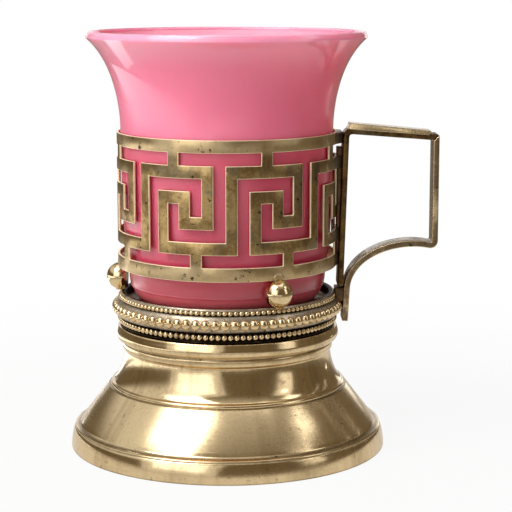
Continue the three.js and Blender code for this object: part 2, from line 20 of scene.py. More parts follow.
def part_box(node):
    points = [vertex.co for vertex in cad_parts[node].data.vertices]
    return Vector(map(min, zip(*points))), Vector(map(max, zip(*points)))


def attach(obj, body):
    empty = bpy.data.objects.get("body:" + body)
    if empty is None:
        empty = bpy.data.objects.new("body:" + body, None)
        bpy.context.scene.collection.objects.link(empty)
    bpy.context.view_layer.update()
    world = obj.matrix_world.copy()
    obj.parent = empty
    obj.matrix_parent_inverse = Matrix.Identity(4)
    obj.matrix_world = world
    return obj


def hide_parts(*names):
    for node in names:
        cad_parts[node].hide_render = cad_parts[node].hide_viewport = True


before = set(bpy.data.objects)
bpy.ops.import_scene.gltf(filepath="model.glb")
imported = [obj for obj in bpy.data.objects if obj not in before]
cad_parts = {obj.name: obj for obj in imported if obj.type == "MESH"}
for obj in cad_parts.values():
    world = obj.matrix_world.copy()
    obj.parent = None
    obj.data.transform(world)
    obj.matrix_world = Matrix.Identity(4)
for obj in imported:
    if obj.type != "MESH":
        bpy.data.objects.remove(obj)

LOG = logging.getLogger("cup")
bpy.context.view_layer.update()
SCENE = bpy.context.scene

MM = 0.001
AXIS_X = sum(corner.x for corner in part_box("spun_foot")) / 2
TO_FRAME = Matrix.Translation((AXIS_X, 0, 0)) @ Matrix.Scale(MM, 4)
UP = Vector((0, 0, 1))
LEVEL = Vector((1, 1, 0))
FULL_TURN = 2 * math.pi
SHARP = math.radians(32)
BALL_ANGLES = [math.radians(-63.2) + FULL_TURN * i / 3 for i in range(3)]
CLOSE = 1e-4
STRAIGHT = 1

Point = tuple[float, float]
Points = tuple[Point, ...]
Leg = tuple[int | Point, ...]
Triple = tuple[float, float, float]
Number = Union[float, "Value"]


def offset(origin: Point, moves: Iterable[Point]) -> list[Point]:
    """Points that lie at the given moves from an origin."""
    return [(origin[0] + x, origin[1] + z) for x, z in moves]


class Body(Enum):
    """Rigid bodies of the model."""

    HOLDER = "holder"
    GLASS = "glass"


class Slot(Enum):
    """Material slots of the record, which new pieces name but do not apply."""

    GLASS = "opaline_glass"
    AGED = "aged_brass"
    BRIGHT = "bright_brass"
    DARK = "dark_brass"


class Paint(Enum):
    """Colours of the finishes, as they look on a screen."""

    ROSE = "#e17593"
    ROSE_DEEP = "#d66888"
    # The pale rose below is painted light at the glass's lip; the three rose colours after it are painted
    # shade low on the glass.
    ROSE_PALE = "#f3b6c9"
    ROSE_SHADE = "#c04d66"
    ROSE_HEEL_SHADE = "#b64a58"
    ROSE_FOOT_SHADE = "#d9686f"
    BRASS = "#e6cfa5"
    BRASS_PALE = "#f3e2ba"
    BRASS_AGED = "#b39a6a"
    BRASS_BROWN = "#7a6039"
    BRASS_GREY = "#7d735c"
    # The pearl colour below is the moulding's tone, and partly a painted reflection of pale surroundings.
    PEARL = "#c3b5a2"
    UMBER = "#78634b"
    # The soot colour below is dirt in specks, and painted shade in grooves, recesses and gaps.
    SOOT_AND_SHADE = "#241b13"
    SOLDER = "#8a8272"
    STEEL = "#8d8d88"
    WHITE = "#ffffff"
    FLOOR = "#bdbbb8"
    TABLE = "#ebe5dc"
    ROOM = "#71644f"
    ROOM_TOP = "#c3beb6"
    ROOM_WALL = "#e3e0da"

    @property
    def linear(self) -> tuple[float, float, float, float]:
        """The colour in linear light, opaque."""
        parts = [int(self.value[i:i + 2], 16) / 255 for i in (1, 3, 5)]
        red, green, blue = (p / 12.92 if p <= 0.04045 else ((p + 0.055) / 1.055) ** 2.4 for p in parts)
        return red, green, blue, 1.0


class Value:
    """A number that a node gives, for use in Python sums."""

    def __init__(self, tree: "ShaderTree", socket: bpy.types.NodeSocket) -> None:
        """Wraps a socket of a tree."""
        self.tree = tree
        self.socket = socket

    def _sum(self, operation: str, first: Number, second: Number) -> "Value":
        """Adds a Math node with that operation and gives its result."""
        return self.tree.value("ShaderNodeMath", {"operation": operation}, {0: first, 1: second})

    def __add__(self, other: Number) -> "Value":
        """self + other."""
        return self._sum("ADD", self, other)

    __radd__ = __add__

    def __sub__(self, other: Number) -> "Value":
        """self - other."""
        return self._sum("SUBTRACT", self, other)

    def __rsub__(self, other: Number) -> "Value":
        """other - self."""
        return self._sum("SUBTRACT", other, self)

    def __mul__(self, other: Number) -> "Value":
        """self * other."""
        return self._sum("MULTIPLY", self, other)

    __rmul__ = __mul__

    def step(self, low: float, high: float) -> "Value":
        """Rises smoothly from 0 at low to 1 at high."""
        settings = {"interpolation_type": "SMOOTHSTEP"}
        return self.tree.value("ShaderNodeMapRange", settings, {0: self, 1: low, 2: high})


class ShaderTree:
    """Node tree of a material, or of the world."""

    def __init__(self, owner: bpy.types.Material | bpy.types.World) -> None:
        """Takes the tree of a material or world and empties it."""
        owner.use_nodes = True
        self.owner = owner
        self.tree = owner.node_tree
        self.tree.nodes.clear()
        self.place = self.node("ShaderNodeTexCoord").outputs["Object"]

    def node(self, kind: str, settings: dict | None = None, inputs: dict | None = None) -> bpy.types.Node:
        """Adds a node.

        Args:
            kind: The node's type.
            settings: Its properties by name.
            inputs: Values, colours or links of its sockets, by name or number.

        Returns:
            The node.
        """
        node = self.tree.nodes.new(kind)
        for key, value in (settings or {}).items():
            setattr(node, key, value)
        for key, value in (inputs or {}).items():
            if isinstance(value, Paint):
                value = value.linear
            if isinstance(value, Value):
                value = value.socket
            if isinstance(value, bpy.types.NodeSocket):
                self.tree.links.new(value, node.inputs[key])
            else:
                node.inputs[key].default_value = value
        return node

    def value(self, kind: str, settings: dict, inputs: dict, output: int | str = 0) -> Value:
        """Adds a node and gives one of its results as a number."""
        return Value(self, self.node(kind, settings, inputs).outputs[output])

    def stretched(self, scale: Triple) -> bpy.types.NodeSocket:
        """Object coordinates, stretched by a factor along each axis."""
        return self.node("ShaderNodeMapping", inputs={"Vector": self.place, "Scale": scale}).outputs[0]

    def vector(self, operation: str, *operands: object) -> bpy.types.NodeSocket:
        """Adds a Vector Math node with that operation and gives its result."""
        inputs = dict(enumerate(operands))
        return self.node("ShaderNodeVectorMath", {"operation": operation}, inputs).outputs[0]

    def along(self, axis: str) -> Value:
        """Place along an axis of the frame, in metres."""
        return self.value("ShaderNodeSeparateXYZ", {}, {0: self.place}, axis)

    def height(self) -> Value:
        """Height above the floor, in metres."""
        return self.along("Z")

    def distance(self) -> Value:
        """Distance from the frame's origin, in metres."""
        return self.value("ShaderNodeVectorMath", {"operation": "LENGTH"}, {0: self.place}, "Value")

    def around(self) -> bpy.types.NodeSocket:
        """Direction from the cup's axis, level and of length 1."""
        away = self.vector("SUBTRACT", self.place, (AXIS_X, 0, 0))
        return self.vector("NORMALIZE", self.vector("MULTIPLY", away, LEVEL))

    def mix(self, share: Number, first: object, second: object) -> bpy.types.NodeSocket:
        """Mixes a share of the second colour, or a link to one, into the first."""
        node = self.node("ShaderNodeMix", {"data_type": "RGBA"}, {0: share, 6: first, 7: second})
        return node.outputs[2]

    def bump(self, height: Value, distance: float) -> bpy.types.NodeSocket:
        """Normals of a surface raised by a height, as a share of a distance in metres."""
        return self.node("ShaderNodeBump", inputs={"Height": height, "Distance": distance}).outputs[0]

    def shown(self, shader: bpy.types.Node, output: str = "ShaderNodeOutputMaterial") -> bpy.types.ID:
        """Ends the tree with a shader and gives its owner."""
        self.node(output, inputs={"Surface": shader.outputs[0]})
        return self.owner

    def surface(self, inputs: dict) -> bpy.types.Material:
        """Ends the material with a Principled shader of those values or links."""
        return self.shown(self.node("ShaderNodeBsdfPrincipled", inputs=inputs))


@dataclass(frozen=True)
class Pattern:
    """A kind of noise: waves per metre, finer layers, and the levels between which it sets in."""

    scale: float
    detail: float
    rough: float = 0.55
    levels: Point | None = None

    def on(self, tree: ShaderTree, factor: float = 1, place: bpy.types.NodeSocket | None = None) -> Value:
        """Lays the noise on a material.

        Args:
            tree: The material's tree.
            factor: Factor on the scale.
            place: Coordinates, if not the object's own.

        Returns:
            The noise, or where it sets in, from 0 to 1.
        """
        noise = tree.value("ShaderNodeTexNoise", {}, {
            "Vector": place or tree.place,
            "Scale": self.scale * factor,
            "Detail": self.detail,
            "Roughness": self.rough,
        })
        return noise.step(*self.levels) if self.levels else noise


CLOUDS = Pattern(1, 6, 0.62)
PATCHES = Pattern(0.45, 4, 0.7, (0.51, 0.6))
GRAIN = Pattern(900, 4, 0.6)
SPECKS = Pattern(420, 3, 0.7, (0.61, 0.7))
FLECKS = Pattern(1500, 2, 0.6, (0.45, 0.7))
SMEARS = Pattern(1, 4, 0.65, (0.5, 0.68))
STREAKS = Pattern(7, 2, levels=(0.47, 0.7))
SCRATCHES = Pattern(1.6, 5, 0.7)
WAVES = Pattern(45, 1)
MILK = Pattern(28, 2, levels=(0.3, 0.75))

SMEAR_STRETCH = (150.0, 150.0, 45.0)
SPUN_STRETCH = (3.0, 3.0, 900.0)
BRUSHED_STRETCH = (700.0, 700.0, 25.0)


@dataclass(frozen=True)
class Finish:
    """A material that is made once and shared by its pieces."""

    name: str

    def material(self) -> bpy.types.Material:
        """The material, made when it is first asked for."""
        return bpy.data.materials.get(self.name) or self.paint(ShaderTree(bpy.data.materials.new(self.name)))

    def paint(self, tree: ShaderTree) -> bpy.types.Material:
        """Fills the material's tree."""
        raise NotImplementedError


@dataclass(frozen=True)
class Brass(Finish):
    """Brass, polished or aged, with patches of tarnish, dirt and painted shade in its grooves, specks and
    scratches.

    Tarnish sets in between two levels of noise, haze lies between two heights, and grooves and rubs are
    heights with a reach, in millimetres. Tarnish adds its spread to the roughness.
    """

    metal: Paint = Paint.BRASS
    tarnish: Paint = Paint.BRASS_BROWN
    clouds: float = 160
    worn: Point = (0.46, 0.7)
    share: float = 0.6
    roughness: float = 0.3
    spread: float = 0.16
    specks: float = 0.5
    scratch: float = 0.03
    spun: bool = False
    dull: float = 0.0
    waves: float = 0.0
    smears: float = 0.0
    flecks: float = 0.0
    patches: float = 0.0
    reflection_streaks: float = 0.0
    hazed: Point | None = None
    grooves: Points = ()
    rubs: Points = ()
    grain_share: float = 0.25
    scratch_share: float = 0.6
    pit_depth: float = 0.6
    haze_edge: float = 0.6
    dirt_and_shade_roughness: float = 0.25
    grain_roughness: float = 0.08
    haze_roughness: float = 0.07
    streak_roughness: float = 0.1
    patch_roughness: float = 0.12

    def rings(self, tree: ShaderTree, cloud: Value, levels: Points) -> Value:
        """Level rings, such as dirt and painted shade in grooves, by height and reach and broken up by noise.
        """
        sides = [(tree.height() * (1 / MM) - level, reach) for level, reach in levels]
        return sum((side * side).step(reach * reach, 0.0) * cloud for side, reach in sides)

    def paint(self, tree: ShaderTree) -> bpy.types.Material:
        """Fills the material's tree.

        Args:
            tree: The empty tree.

        Returns:
            The material.
        """
        cloud = CLOUDS.on(tree, self.clouds)
        grain = GRAIN.on(tree)
        worn = (cloud * (1 - self.grain_share) + grain * self.grain_share).step(*self.worn)
        patch = PATCHES.on(tree, self.clouds) * self.patches
        dark = SPECKS.on(tree) * self.specks
        # Dark rings in grooves are dirt and painted shade; the specks are dirt.
        if self.grooves:
            dark = dark + self.rings(tree, cloud, self.grooves)
        rough = self.roughness + worn * self.spread + dark * self.dirt_and_shade_roughness
        rough = rough + (grain - 0.5) * self.grain_roughness
        colour = tree.mix(worn * self.share, self.metal, self.tarnish)
        colour = tree.mix(patch, colour, Paint.BRASS_GREY)
        if self.smears:
            smear = SMEARS.on(tree, place=tree.stretched(SMEAR_STRETCH))
            colour = tree.mix(smear * self.smears, colour, Paint.UMBER)
        if self.flecks:
            colour = tree.mix(FLECKS.on(tree) * self.flecks, colour, self.tarnish)
        if self.rubs:
            colour = tree.mix(self.rings(tree, cloud, self.rubs), colour, Paint.BRASS)
        colour = tree.mix(dark, colour, Paint.SOOT_AND_SHADE)
        if self.hazed:
            low, high = self.hazed
            level = tree.height() * (1 / MM)
            inside = level.step(low, low + self.haze_edge) * level.step(high, high - self.haze_edge)
            rough = rough + inside * self.haze_roughness
        # Painted reflection: dark streaks round the axis, in the tarnish colour, for streaky reflections.
        if self.reflection_streaks:
            streak = STREAKS.on(tree, place=tree.around()) * self.reflection_streaks
            colour = tree.mix(streak, colour, self.tarnish)
            rough = rough + streak * self.streak_roughness
        lines = SCRATCHES.on(tree, place=tree.stretched(SPUN_STRETCH if self.spun else BRUSHED_STRETCH))
        relief = lines * self.scratch_share + grain * (1 - self.scratch_share) - dark * self.pit_depth
        relief = relief * self.scratch + WAVES.on(tree) * self.waves
        return tree.surface({
            "Base Color": colour,
            "Metallic": 1.0 - self.dull,
            "Roughness": rough + patch * self.patch_roughness,
            "Normal": tree.bump(relief, MM),
        })


@dataclass(frozen=True)
class Opaline(Finish):
    """Glossy pink glass that scatters light inside.

    Its foot, heel, shaded part, crisp gloss and lip set in between two heights, in metres. The foot, heel
    and shaded part are painted shade in a deeper rose, and the lip is painted light in a paler rose. Coat
    and roughness are pairs: low down and high up.
    """

    name: str = "pink_opaline"
    outside: bool = True
    foot: Point = (0.0522, 0.0540)
    heel: Point = (0.0560, 0.0620)
    shaded: Point = (0.0955, 0.1050)
    crisp: Point = (0.113, 0.122)
    lip: Point = (0.123, 0.1325)
    lip_share: float = 0.36
    milk_share: float = 0.35
    milk_roughness: float = 0.02
    roughness: Point = (0.24, 0.05)
    ripple: float = 0.02 * MM
    refraction: float = 1.5
    gloss: float = 0.65
    scatter: float = 0.85
    scatter_depth: float = 0.009
    scatter_colour: Triple = (1.0, 0.35, 0.42)
    coat: Point = (0.25, 0.8)
    coat_roughness: float = 0.45
    coat_refraction: float = 1.6

    def paint(self, tree: ShaderTree) -> bpy.types.Material:
        """Fills the material's tree.

        Args:
            tree: The empty tree.

        Returns:
            The material.
        """
        milk = MILK.on(tree)
        colour = tree.mix(milk * self.milk_share, Paint.ROSE, Paint.ROSE_DEEP)
        low_coat, coat = self.coat
        if self.outside:
            # Painted shade: deeper rose at the foot and heel and where the band shades the glass.
            shade = tree.mix(tree.height().step(*self.foot), Paint.ROSE_FOOT_SHADE, Paint.ROSE_HEEL_SHADE)
            shade = tree.mix(tree.height().step(*self.heel), shade, Paint.ROSE_SHADE)
            open_air = tree.height().step(*self.shaded)
            colour = tree.mix(open_air, shade, colour)
            coat = open_air * (coat - low_coat) + low_coat
        # Painted light: paler rose towards the lip, where light shines through the thin glass.
        colour = tree.mix(tree.height().step(*self.lip) * self.lip_share, colour, Paint.ROSE_PALE)
        blurred, crisp = self.roughness
        rough = blurred - tree.height().step(*self.crisp) * (blurred - crisp) + milk * self.milk_roughness
        return tree.surface({
            "Base Color": colour,
            "Roughness": rough,
            "IOR": self.refraction,
            "Specular IOR Level": self.gloss,
            "Subsurface Weight": self.scatter,
            "Subsurface Radius": self.scatter_colour,
            "Subsurface Scale": self.scatter_depth,
            "Coat Weight": coat,
            "Coat Roughness": self.coat_roughness,
            "Coat IOR": self.coat_refraction,
            "Normal": tree.bump(WAVES.on(tree), self.ripple),
        })


# On the foot the dark rings are dirt and painted shade, the lowest a painted contact shadow, and the dark
# streaks are painted reflection.
POLISHED = Brass("polished_brass", clouds=60, worn=(0.48, 0.8), share=0.45, roughness=0.13,
                 spread=0.12, specks=0.35, scratch=0.014, spun=True, waves=0.1, flecks=0.12, reflection_streaks=0.3,
                 hazed=(8.6, 20.2), grooves=((34.8, 0.5), (20.25, 0.3), (7.6, 0.35), (6.6, 0.3), (0.0, 0.6)))
BUTTON = Brass("rubbed_ball_brass", worn=(0.5, 0.8), share=0.4, roughness=0.1, spread=0.12, specks=0.2,
               scratch=0.006)
GILT = Brass("gilt_bead_brass", clouds=300, roughness=0.09, spread=0.14, specks=0.2, scratch=0.006)
RUBBED = Brass("rubbed_edge_brass", clouds=170, roughness=0.22, scratch=0.02, smears=0.2, flecks=0.2)
SATIN = Brass("aged_satin_brass", Paint.BRASS_AGED, clouds=130, worn=(0.44, 0.62), share=0.85, specks=0.9,
              patches=0.75, smears=0.7, flecks=0.35, rubs=((100.8, 3.6), (61.5, 3.6)))
GRIP = Brass("worn_grip_brass", tarnish=Paint.UMBER, clouds=90, worn=(0.36, 0.53), share=0.95, roughness=0.26,
             specks=0.9, scratch=0.04, patches=0.75, smears=0.7, flecks=0.35)
# Pale cut and worn edges: worn metal, and also a painted highlight where edges catch the light.
EDGE = Brass("bright_cut_edge_and_highlight", Paint.BRASS_PALE, Paint.BRASS_AGED, worn=(0.5, 0.72), share=0.5,
             roughness=0.34, spread=0.12, specks=0.1, scratch=0.01, dull=0.6)
# Pale grey-cream brass: tone of the moulding, partly painted reflection; on the grip's side towards the
# fingers, painted reflection.
PEARLY = Brass("pearly_moulding", Paint.PEARL, Paint.BRASS_GREY, worn=(0.42, 0.66), share=0.8, roughness=0.26,
               spread=0.14, specks=0.7, dull=0.15, flecks=0.5, grooves=((48.5, 0.35), (43.8, 0.5)))
# The back strap's brass: tarnish, darkened further as painted shade.
TARNISH_AND_SHADE = Brass("tarnish_and_shade_strap_brass", Paint.BRASS_BROWN, Paint.SOOT_AND_SHADE, clouds=120, worn=(0.42, 0.64), share=0.8,
              roughness=0.34, spread=0.18, specks=0.6, patches=0.4)
# Painted shade: cores behind the upper beads, the back strap's side towards the fingers and the dark seam and
# tail block.
DARK = Brass("painted_shade_brass", Paint.UMBER, Paint.SOOT_AND_SHADE, clouds=140, worn=(0.46, 0.72), share=0.7, roughness=0.4,
             spread=0.18)
# Painted shade in the gallery's recesses, gap and well, and between the lower beads.
RECESS_SHADE = Brass("recess_shade_brass", Paint.SOOT_AND_SHADE, Paint.UMBER, clouds=200, worn=(0.5, 0.75), share=0.5, roughness=0.5,
              spread=0.2, scratch=0.04)
LEAD = Brass("grey_solder", Paint.SOLDER, clouds=400, worn=(0.45, 0.68), share=0.7, roughness=0.36,
             specks=0.4, scratch=0.05)
STEEL = Brass("plain_steel", Paint.STEEL, clouds=200, worn=(0.55, 0.75), share=0.4, roughness=0.35,
              spread=0.12, specks=0.2, scratch=0.01)
OPALINE = Opaline()
OPALINE_INSIDE = Opaline("pink_opaline_inside", outside=False)


@dataclass
class Outline:
    """A line of points in radius and height, or in reach and height."""

    points: list[Vector] = field(default_factory=list)

    def run(self, points: Iterable[Vector]) -> "Outline":
        """Runs through points."""
        self.points += points
        return self

    def to(self, *points: Point) -> "Outline":
        """Runs straight to points in radius and height, one after the other."""
        return self.run(Vector((x, 0, z)) for x, z in points)

    def curve(self, first: Point, second: Point, end: Point, chords: int) -> "Outline":
        """Runs along a Bezier curve with two handles."""
        knots = [Vector((x, 0, z)) for x, z in (first, second, end)]
        return self.run(interpolate_bezier(self.points[-1], *knots, chords + 1)[1:])

    def bend(self, corner: Point, end: Point, chords: int = 8) -> "Outline":
        """Runs along a curve that is drawn towards a corner."""
        ends = ((self.points[-1].x, self.points[-1].z), end)
        handles = [(x + (corner[0] - x) * 2 / 3, z + (corner[1] - z) * 2 / 3) for x, z in ends]
        return self.curve(*handles, end, chords)

    def draw(self, legs: Iterable[Leg]) -> "Outline":
        """Runs along legs, which are given by their chords and points.

        Args:
            legs: Straight runs of one chord each, bends of two points and curves of three.

        Returns:
            The outline itself.
        """
        for chords, *points in legs:
            if chords == STRAIGHT:
                self.to(*points)
            elif len(points) == 2:
                self.bend(*points, chords)
            else:
                self.curve(*points, chords)
        return self

    def beside(self, distance: float) -> list[Vector]:
        """The line moved sideways.

        Args:
            distance: How far to its left, seen with reach to the right and height up.

        Returns:
            The moved points.
        """
        line = [self.points[0], *self.points, self.points[-1]]
        ways = [(after - before).normalized() for before, after in zip(line, line[2:])]
        return [point + Vector((-way.z, 0, way.x)) * distance for point, way in zip(self.points, ways)]


def make_object(name: str, bm: bmesh.types.BMesh,
                materials: Iterable[bpy.types.Material]) -> bpy.types.Object:
    """Turns a mesh in work into an object of the scene.

    Args:
        name: Name of the object.
        bm: The mesh in work, which is freed.
        materials: Its materials, in the order of their slots.

    Returns:
        The object.
    """
    mesh = bpy.data.meshes.new(name)
    bm.to_mesh(mesh)
    bm.free()
    for material in materials:
        mesh.materials.append(material)
    made = bpy.data.objects.new(name, mesh)
    SCENE.collection.objects.link(made)
    return made


def facing_out(face: bmesh.types.BMFace) -> float:
    """How much a face looks away from the cup's axis, from -1 to 1."""
    return face.normal.dot((face.calc_center_median() * LEVEL).normalized())


class Bench:
    """One piece in work: a mesh in millimetres round the cup's axis."""

    def __init__(self) -> None:
        """Starts with nothing."""
        self.bm = bmesh.new()

    @property
    def everything(self) -> list:
        """All vertices, edges and faces on the bench."""
        return self.bm.verts[:] + self.bm.edges[:] + self.bm.faces[:]

    def turn(self, outline: Outline, steps: int, closed: bool = False) -> "Bench":
        """Turns an outline about the axis.

        Args:
            outline: The outline in radius and height.
            steps: Facets of a full turn.
            closed: Whether the outline's end joins its start.

        Returns:
            The bench itself.
        """
        verts = [self.bm.verts.new(p) for p in outline.points]
        pairs = zip(verts, verts[1:] + verts[:1] if closed else verts[1:])
        edges = [self.bm.edges.new(pair) for pair in pairs]
        bmesh.ops.spin(self.bm, geom=verts + edges, cent=(0, 0, 0), axis=UP, angle=FULL_TURN, steps=steps,
                       use_merge=True)
        return self.clean()

    def slab(self, points: Iterable[Vector], rise: Vector) -> "Bench":
        """Extrudes a flat outline.

        Args:
            points: The outline.
            rise: How far the outline moves.

        Returns:
            The bench itself.
        """
        face = self.bm.faces.new([self.bm.verts.new(p) for p in points])
        grown = bmesh.ops.extrude_face_region(self.bm, geom=[face])["geom"]
        bmesh.ops.translate(self.bm, verts=[v for v in grown if isinstance(v, bmesh.types.BMVert)], vec=rise)
        return self.clean()

    def plate(self, points: Iterable[Vector], width: float) -> "Bench":
        """Extrudes an outline in reach and height to both sides of the handle's plane."""
        side = Vector((0, width / 2, 0))
        return self.slab([p - side for p in points], 2 * side)

    def lump(self, place: Triple, size: Triple, turn: float = 0.0) -> "Bench":
        """Adds a round lump of those half sizes, turned about the axis."""
        matrix = Matrix.Rotation(turn, 4, "Z") @ Matrix.Translation(place) @ Matrix.Diagonal((*size, 1))
        bmesh.ops.create_icosphere(self.bm, subdivisions=3, radius=1, matrix=matrix)
        return self

    def clean(self) -> "Bench":
        """Closes seams and poles and points the faces outwards."""
        bmesh.ops.remove_doubles(self.bm, verts=self.bm.verts, dist=CLOSE)
        bmesh.ops.dissolve_degenerate(self.bm, edges=self.bm.edges, dist=CLOSE)
        bmesh.ops.recalc_face_normals(self.bm, faces=self.bm.faces)
        return self

    def sharp_edges(self) -> list[bmesh.types.BMEdge]:
        """Edges that turn too far to look smooth."""
        return [e for e in self.bm.edges if e.is_manifold and e.calc_face_angle(0) > SHARP]

    def soften(self, width: float, segments: int = 2, slot: int = -1) -> "Bench":
        """Rounds the sharp edges.

        Args:
            width: Width of the rounding.
            segments: Its facets.
            slot: Material slot of the rounding, or -1 for its neighbours'.

        Returns:
            The bench itself.
        """
        made = bmesh.ops.bevel(
            self.bm, geom=self.sharp_edges(), offset=width, offset_type="OFFSET", segments=segments,
            profile=0.5, affect="EDGES", material=-1, clamp_overlap=True)
        if slot >= 0:
            for face in made["faces"]:
                face.material_index = slot
        return self

    def copies_round(self, count: int) -> "Bench":
        """Repeats what is on the bench round the axis, count times in all."""
        bmesh.ops.spin(self.bm, geom=self.everything, cent=(0, 0, 0), axis=UP,
                       angle=FULL_TURN * (count - 1) / count, steps=count - 1, use_duplicate=True)
        return self

    def move(self, matrix: Matrix) -> "Bench":
        """Moves all that is on the bench."""
        bmesh.ops.transform(self.bm, matrix=matrix, verts=self.bm.verts)
        return self

    def piece(self, name: str, body: Body, slot: Slot, finishes: Sequence[Finish],
              nodes: Sequence[str] = ()) -> None:
        """Takes the piece off the bench and puts it into the model.

        Args:
            name: Name of the piece.
            body: Body that it moves with.
            slot: Record's slot of its finish; not used.
            finishes: Its finishes, in the order of its material slots.
            nodes: Solids that it stands for.
        """
        for face in self.bm.faces:
            face.smooth = True
        for edge in self.sharp_edges():
            edge.smooth = False
        self.move(TO_FRAME)
        made = make_object(name, self.bm, (finish.material() for finish in finishes))
        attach(made, body.value)
        if nodes:
            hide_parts(*nodes)
        LOG.info("%s: %d faces", name, len(made.data.polygons))


def dress(node: str, finish: Finish) -> None:
    """Gives a solid of the model a finish.

    Args:
        node: The solid's name.
        finish: Its finish.
    """
    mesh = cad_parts[node].data
    mesh.materials.clear()
    mesh.materials.append(finish.material())
    LOG.info("%s: dressed", node)


@dataclass
class Tumbler:
    """Flared glass with a rounded heel and a hollowed foot."""

    legs: tuple[Leg, ...] = (
        # Hollow and foot
        (1, (0, 51.3)), (8, (13.5, 51.3), (22.5, 48.3)), (1, (26.0, 48.3)),
        (14, (29.2, 48.3), (30.3, 50.9), (31.05, 52.9)), (5, (31.55, 53.15), (31.4, 53.6)),
        # Heel, wall and flare
        (14, (31.6, 54.4), (31.8, 55.8), (31.85, 58.0)), (20, (33.75, 67.0), (34.1, 84.0), (34.15, 104.0)),
        (36, (34.15, 109.8), (35.86, 124.82), (44.9, 132.4)),
        # Lip
        (4, (44.9, 132.9), (44.65, 133.35)), (5, (44.44, 133.78), (44.2, 134.15)),
        (4, (44.0, 134.4), (43.6, 134.4)), (8, (42.3, 134.4), (42.3, 133.4)),
        # Inside
        (36, (33.26, 125.82), (31.95, 109.8), (31.95, 104.0)), (1, (29.65, 58.0)),
        (14, (29.65, 57.1), (27.45, 54.9), (26.0, 54.9)), (1, (0, 54.9)),
    )
    flare_start: float = 104.0
    inside_facing: float = -0.1
    floor_facing: float = 0.5
    steps: int = 160

    def build(self) -> None:
        """Turns the glass and marks its inside."""
        bench = Bench().turn(Outline().draw(self.legs), self.steps)
        for face in bench.bm.faces:
            low = face.calc_center_median().z < self.flare_start
            if facing_out(face) < self.inside_facing or (low and face.normal.z > self.floor_facing):
                face.material_index = 1
        bench.piece("glass_cup", Body.GLASS, Slot.GLASS, [OPALINE, OPALINE_INSIDE], ["glass_tumbler"])


@dataclass
class KeyBand:
    """Pierced band with its frieze of Greek keys."""

    inner: float = 34.7
    thickness: float = 0.65
    bottom: float = 59.35
    height: float = 43.35
    lower_rail: float = 4.3
    start: float = math.radians(29.2)
    keys: int = 7
    steps_per_cell: int = 4
    cut_edge: float = 0.16
    cut_facing: float = 0.5
    key: tuple[str, ...] = ("########", "...#....", "#######.", "#.....#.", "#.###.#.", "#.#.#.#.",
                            "#.#.###.", "#.#.....", "#.######", ".....#..", "########")
    closing: tuple[str, ...] = ("####", ".#..", "###.", "#.#.", "#.#.", "#.#.",
                                "#.#.", "#.#.", "#.##", "..#.", "####")

    def build(self) -> None:
        """Cuts the frieze out of a turned wall and gives it its thickness."""
        rows = [key * self.keys + end for key, end in zip(self.key, self.closing)]
        columns = len(rows[0])
        row_height = (self.height - self.lower_rail) / (len(rows) - 1)
        heights = [self.bottom]
        heights += [self.bottom + self.lower_rail + row_height * i for i in range(len(rows))]
        bench = Bench().turn(Outline().to(*((self.inner, z) for z in heights)), columns * self.steps_per_cell)
        bench.move(Matrix.Rotation(self.start, 4, "Z"))
        openings = []
        for face in bench.bm.faces:
            middle = face.calc_center_median()
            angle = (math.atan2(middle.y, middle.x) - self.start) % FULL_TURN
            row = len(rows) - bisect(heights, middle.z)
            if rows[row][int(angle / FULL_TURN * columns)] == ".":
                openings.append(face)
        bmesh.ops.delete(bench.bm, geom=openings, context="FACES")
        bmesh.ops.recalc_face_normals(bench.bm, faces=bench.bm.faces)
        bmesh.ops.solidify(bench.bm, geom=bench.bm.faces[:], thickness=-self.thickness)
        bmesh.ops.recalc_face_normals(bench.bm, faces=bench.bm.faces)
        # Cut walls and roundings take the pale edge finish: worn metal and a painted highlight.
        for face in bench.bm.faces:
            if abs(facing_out(face)) < self.cut_facing:
                face.material_index = 1
        bench.soften(self.cut_edge, slot=1)
        bench.piece("greek_key_band", Body.HOLDER, Slot.AGED, [SATIN, EDGE], ["key_band"])


@dataclass(frozen=True)
class BeadRow:
    """One beaded wire of the gallery, with a core sized by shares of a bead."""

    name: str
    node: str
    slot: Slot
    level: float
    ring: float
    size: Point
    count: int
    share: float
    mesh: tuple[int, int]
    finish: Brass
    core: Brass
    core_shares: Triple = (0.55, 0.5, 0.3)

    def build(self) -> None:
        """Lays the wire round the collar: its beads and the core that joins them."""
        depth, height = self.size
        width = FULL_TURN * self.ring / self.count * self.share
        bench = Bench()
        bmesh.ops.create_uvsphere(bench.bm, u_segments=self.mesh[0], v_segments=self.mesh[1], radius=1)
        place = Matrix.Translation((self.ring, 0, self.level))
        bench.move(place @ Matrix.Diagonal((depth, width, height, 1))).copies_round(self.count)
        beads = set(bench.bm.faces)
        back, half, front = (share * size for share, size in zip(self.core_shares, (depth, height, depth)))
        sides = ((-back, -half), (0, -half), (front, 0), (0, half), (-back, half))
        core = Outline().to(*offset((self.ring, self.level), sides))
        bench.turn(core, self.count, closed=True)
        for face in bench.bm.faces:
            face.material_index = 0 if face in beads else 1
        bench.piece(self.name, Body.HOLDER, self.slot, [self.finish, self.core], [self.node])


